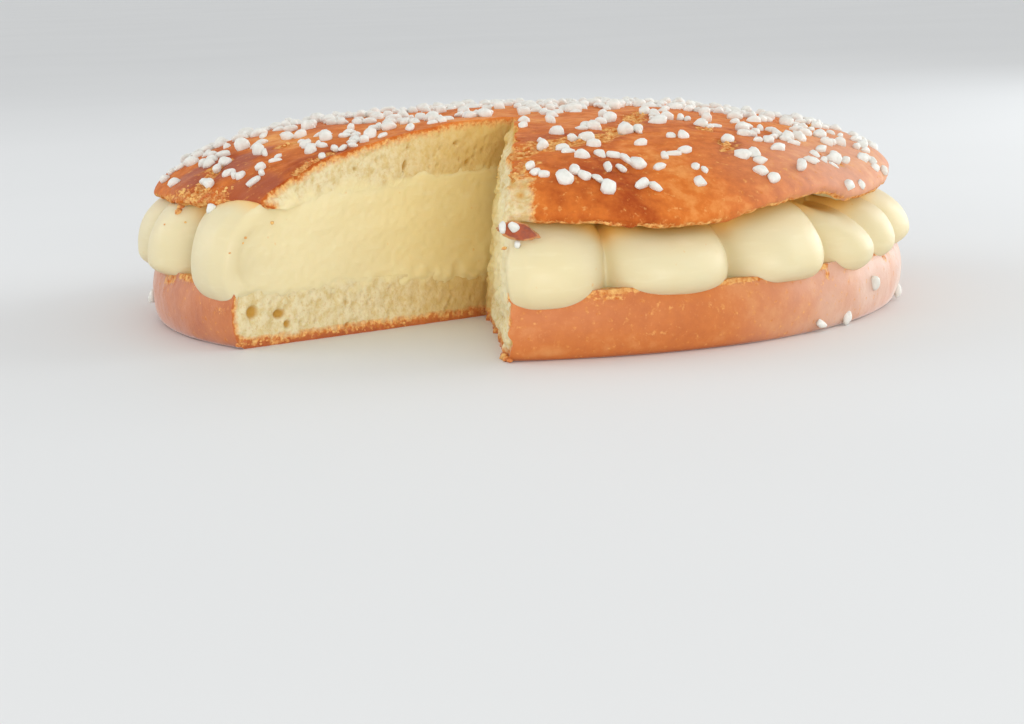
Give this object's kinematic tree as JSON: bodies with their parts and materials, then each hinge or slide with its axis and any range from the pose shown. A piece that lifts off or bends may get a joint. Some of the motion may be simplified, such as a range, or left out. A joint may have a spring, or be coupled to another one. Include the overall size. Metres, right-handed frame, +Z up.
{
  "type": "tarte tropezienne",
  "caption": "Round brioche cake split across and filled with a thick layer of piped cream, pearl sugar on the domed crust, with one slice cut out.",
  "frame": {"origin": "centre of the flat foot of the cake, on the surface it stands on", "axes": "+Z up through the crown; the missing slice opens towards -Y and -X, its right cut nearly along -Y"},
  "size_m": [0.2464, 0.2478, 0.0644],
  "materials": {
    "base_crust": "matte baked crust, orange brown, pale yellow crumb on the cuts",
    "cream": "smooth satin pastry cream, pale yellow",
    "top_crust": "egg-washed baked crust with a soft sheen, strewn with white pearl sugar",
    "scrap_crust": "dark baked crust with a soft sheen"
  },
  "bodies": {
    "root": {"brioche_base": "base_crust", "cream_filling": "cream", "brioche_top": "top_crust", "crust_scrap": "scrap_crust"}
  },
  "joints": []
}
